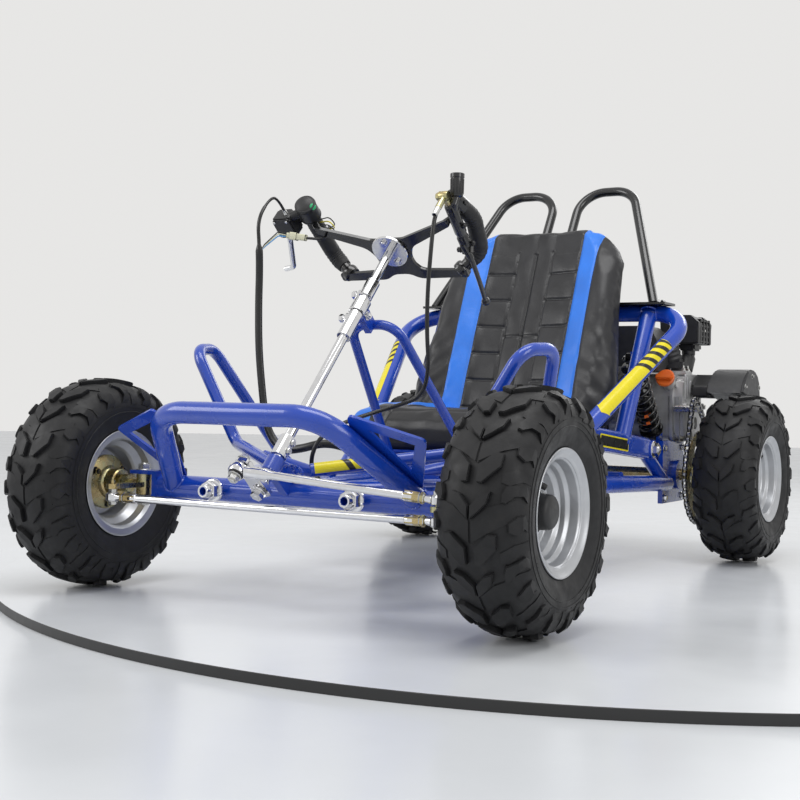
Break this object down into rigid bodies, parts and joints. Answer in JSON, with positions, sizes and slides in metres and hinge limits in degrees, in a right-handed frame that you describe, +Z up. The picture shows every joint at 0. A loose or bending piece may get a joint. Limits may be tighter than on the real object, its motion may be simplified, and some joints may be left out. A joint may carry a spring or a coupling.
{
  "type": "dune buggy",
  "caption": "Small single-seat off-road kart with a tube frame, knobbly tyres, handlebar steering, bucket seat and a chain-driven rear axle.",
  "frame": {"origin": "on the ground, midway between the axles and on the centre line", "axes": "forward is -Y, the driver's left is +X, +Z is up"},
  "size_m": [0.938, 1.4628, 0.812],
  "materials": {
    "blue_paint": "gloss",
    "black_steel": "satin",
    "shock_black": "gloss",
    "alloy": "cast",
    "orange_plastic": "gloss",
    "black_plastic": "matt",
    "vinyl": "soft sheen",
    "chrome": "polished",
    "grip_rubber": "matt",
    "zinc": "zinc plated",
    "silver_paint": "satin",
    "tyre_rubber": "matt",
    "black_hose": "satin"
  },
  "bodies": {
    "chassis": {"front_beam": "blue_paint", "front_bumper": "blue_paint", "floor_frame": "blue_paint", "side_loop_left": "blue_paint", "side_loop_right": "blue_paint", "column_hoop": "blue_paint", "rear_hoop": "blue_paint", "rear_subframe": "blue_paint", "roll_hoops": "black_steel", "chain": "black_steel", "spring_left": "black_steel", "spring_right": "black_steel", "shock_left": "shock_black", "shock_right": "shock_black", "engine_block": "alloy", "brake_caliper": "alloy", "oil_cap": "orange_plastic", "engine_shroud": "black_plastic", "air_filter": "black_plastic", "clutch_cover": "black_plastic", "seat_cushion": "vinyl", "seat_back": "vinyl", "brake_hose": "black_hose", "throttle_cable": "black_hose"},
    "steering": {"steering_column": "chrome", "handlebar": "black_steel", "grip_left": "grip_rubber", "grip_right": "grip_rubber", "brake_lever": "black_plastic", "throttle_control": "black_plastic", "throttle_cable_loop": "black_hose"},
    "knuckle_left": {"knuckle_left": "zinc"},
    "knuckle_right": {"knuckle_right": "zinc"},
    "tie_rod": {"tie_rod": "chrome"},
    "drag_link": {"drag_link": "chrome"},
    "front_left_wheel": {"front_left_rim": "silver_paint", "front_left_tyre": "tyre_rubber"},
    "front_right_wheel": {"front_right_rim": "silver_paint", "front_right_tyre": "tyre_rubber"},
    "rear_wheels": {"rear_axle": "zinc", "rear_left_rim": "silver_paint", "rear_right_rim": "silver_paint", "rear_left_tyre": "tyre_rubber", "rear_right_tyre": "tyre_rubber"}
  },
  "joints": [
    {"name": "steering_turn", "type": "hinge", "parent": "chassis", "child": "steering", "pos_m": [0, -0.616, 0.21], "axis": [0, 0.6712, 0.7413], "range_deg": [-25, 25]},
    {"name": "knuckle_left_turn", "type": "hinge", "parent": "chassis", "child": "knuckle_left", "pos_m": [0.303, -0.554, 0.1775], "axis": [0, 0, 1], "range_deg": [-21, 21]},
    {"name": "knuckle_right_turn", "type": "hinge", "parent": "chassis", "child": "knuckle_right", "pos_m": [-0.303, -0.554, 0.1775], "axis": [0, 0, 1], "range_deg": [-21, 21]},
    {"name": "tie_rod_turn", "type": "hinge", "parent": "knuckle_left", "child": "tie_rod", "pos_m": [0.303, -0.629, 0.16], "axis": [0, 0, 1], "range_deg": [-21, 21]},
    {"name": "drag_link_turn", "type": "hinge", "parent": "knuckle_left", "child": "drag_link", "pos_m": [0.303, -0.629, 0.19], "axis": [0, 0, 1], "range_deg": [-21, 21]},
    {"name": "front_left_spin", "type": "hinge", "parent": "knuckle_left", "child": "front_left_wheel", "pos_m": [0.403, -0.554, 0.1775], "axis": [1, 0, 0], "continuous": true},
    {"name": "front_right_spin", "type": "hinge", "parent": "knuckle_right", "child": "front_right_wheel", "pos_m": [-0.403, -0.554, 0.1775], "axis": [1, 0, 0], "continuous": true},
    {"name": "rear_spin", "type": "hinge", "parent": "chassis", "child": "rear_wheels", "pos_m": [0, 0.554, 0.1775], "axis": [1, 0, 0], "continuous": true}
  ],
  "couplings": [
    {"joint": "knuckle_left_turn", "follows": "steering_turn", "ratio": 0.82667},
    {"joint": "knuckle_right_turn", "follows": "steering_turn", "ratio": 0.82667},
    {"joint": "tie_rod_turn", "follows": "steering_turn", "ratio": -0.82667},
    {"joint": "drag_link_turn", "follows": "steering_turn", "ratio": -0.82667}
  ]
}
